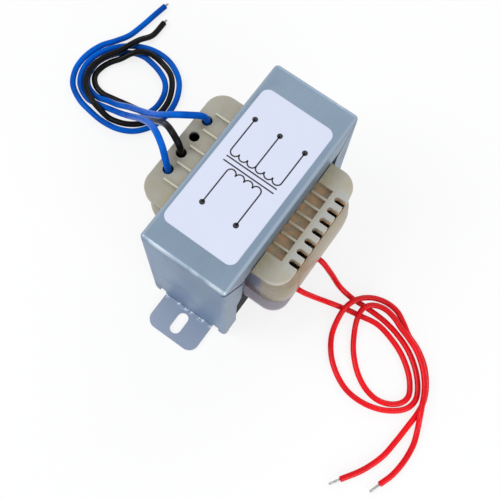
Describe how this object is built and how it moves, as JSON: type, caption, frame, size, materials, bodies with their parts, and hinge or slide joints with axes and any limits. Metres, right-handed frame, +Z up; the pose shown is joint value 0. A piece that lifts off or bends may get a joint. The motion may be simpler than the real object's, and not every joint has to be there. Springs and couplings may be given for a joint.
{
  "type": "laminated chassis transformer",
  "caption": "EI66 x 28 laminated mains transformer in a folded steel channel bracket with two slotted feet, a moulded bobbin with a wire comb, two red input leads and three output leads.",
  "frame": {"origin": "middle of the footprint, on the surface that the feet stand on", "axes": "+Z up, away from the mounting surface; +X along the core and the feet; -Y is the side of the red input leads and +Y the side of the blue and black output leads"},
  "size_m": [0.1144, 0.1799, 0.0574],
  "materials": {
    "plated_steel": "satin",
    "label_film": "matte",
    "silicon_steel": "satin",
    "natural_nylon": "satin",
    "enamelled_copper": "gloss",
    "yellow_tape": "satin",
    "pad_paper": "matte",
    "solder": "satin",
    "red_pvc": "satin",
    "blue_pvc": "satin",
    "black_pvc": "satin"
  },
  "bodies": {
    "root": {"bracket": "plated_steel", "label": "label_film", "e_laminations_yoke_down": "silicon_steel", "e_laminations_yoke_up": "silicon_steel", "i_laminations_top": "silicon_steel", "i_laminations_bottom": "silicon_steel", "bobbin": "natural_nylon", "primary_winding": "enamelled_copper", "primary_tape": "yellow_tape", "secondary_winding_inner": "enamelled_copper", "secondary_tape": "yellow_tape", "secondary_winding_outer": "enamelled_copper", "outer_wrap": "yellow_tape", "front_joint_pad": "pad_paper", "back_joint_pad": "pad_paper", "input_joints": "solder", "output_joints": "solder", "red_lead_1": "red_pvc", "red_lead_2": "red_pvc", "blue_lead_1": "blue_pvc", "blue_lead_2": "blue_pvc", "black_lead": "black_pvc", "red_tip_1": "solder", "red_tip_2": "solder", "blue_tip_1": "solder", "blue_tip_2": "solder", "black_tip": "solder"}
  },
  "joints": []
}
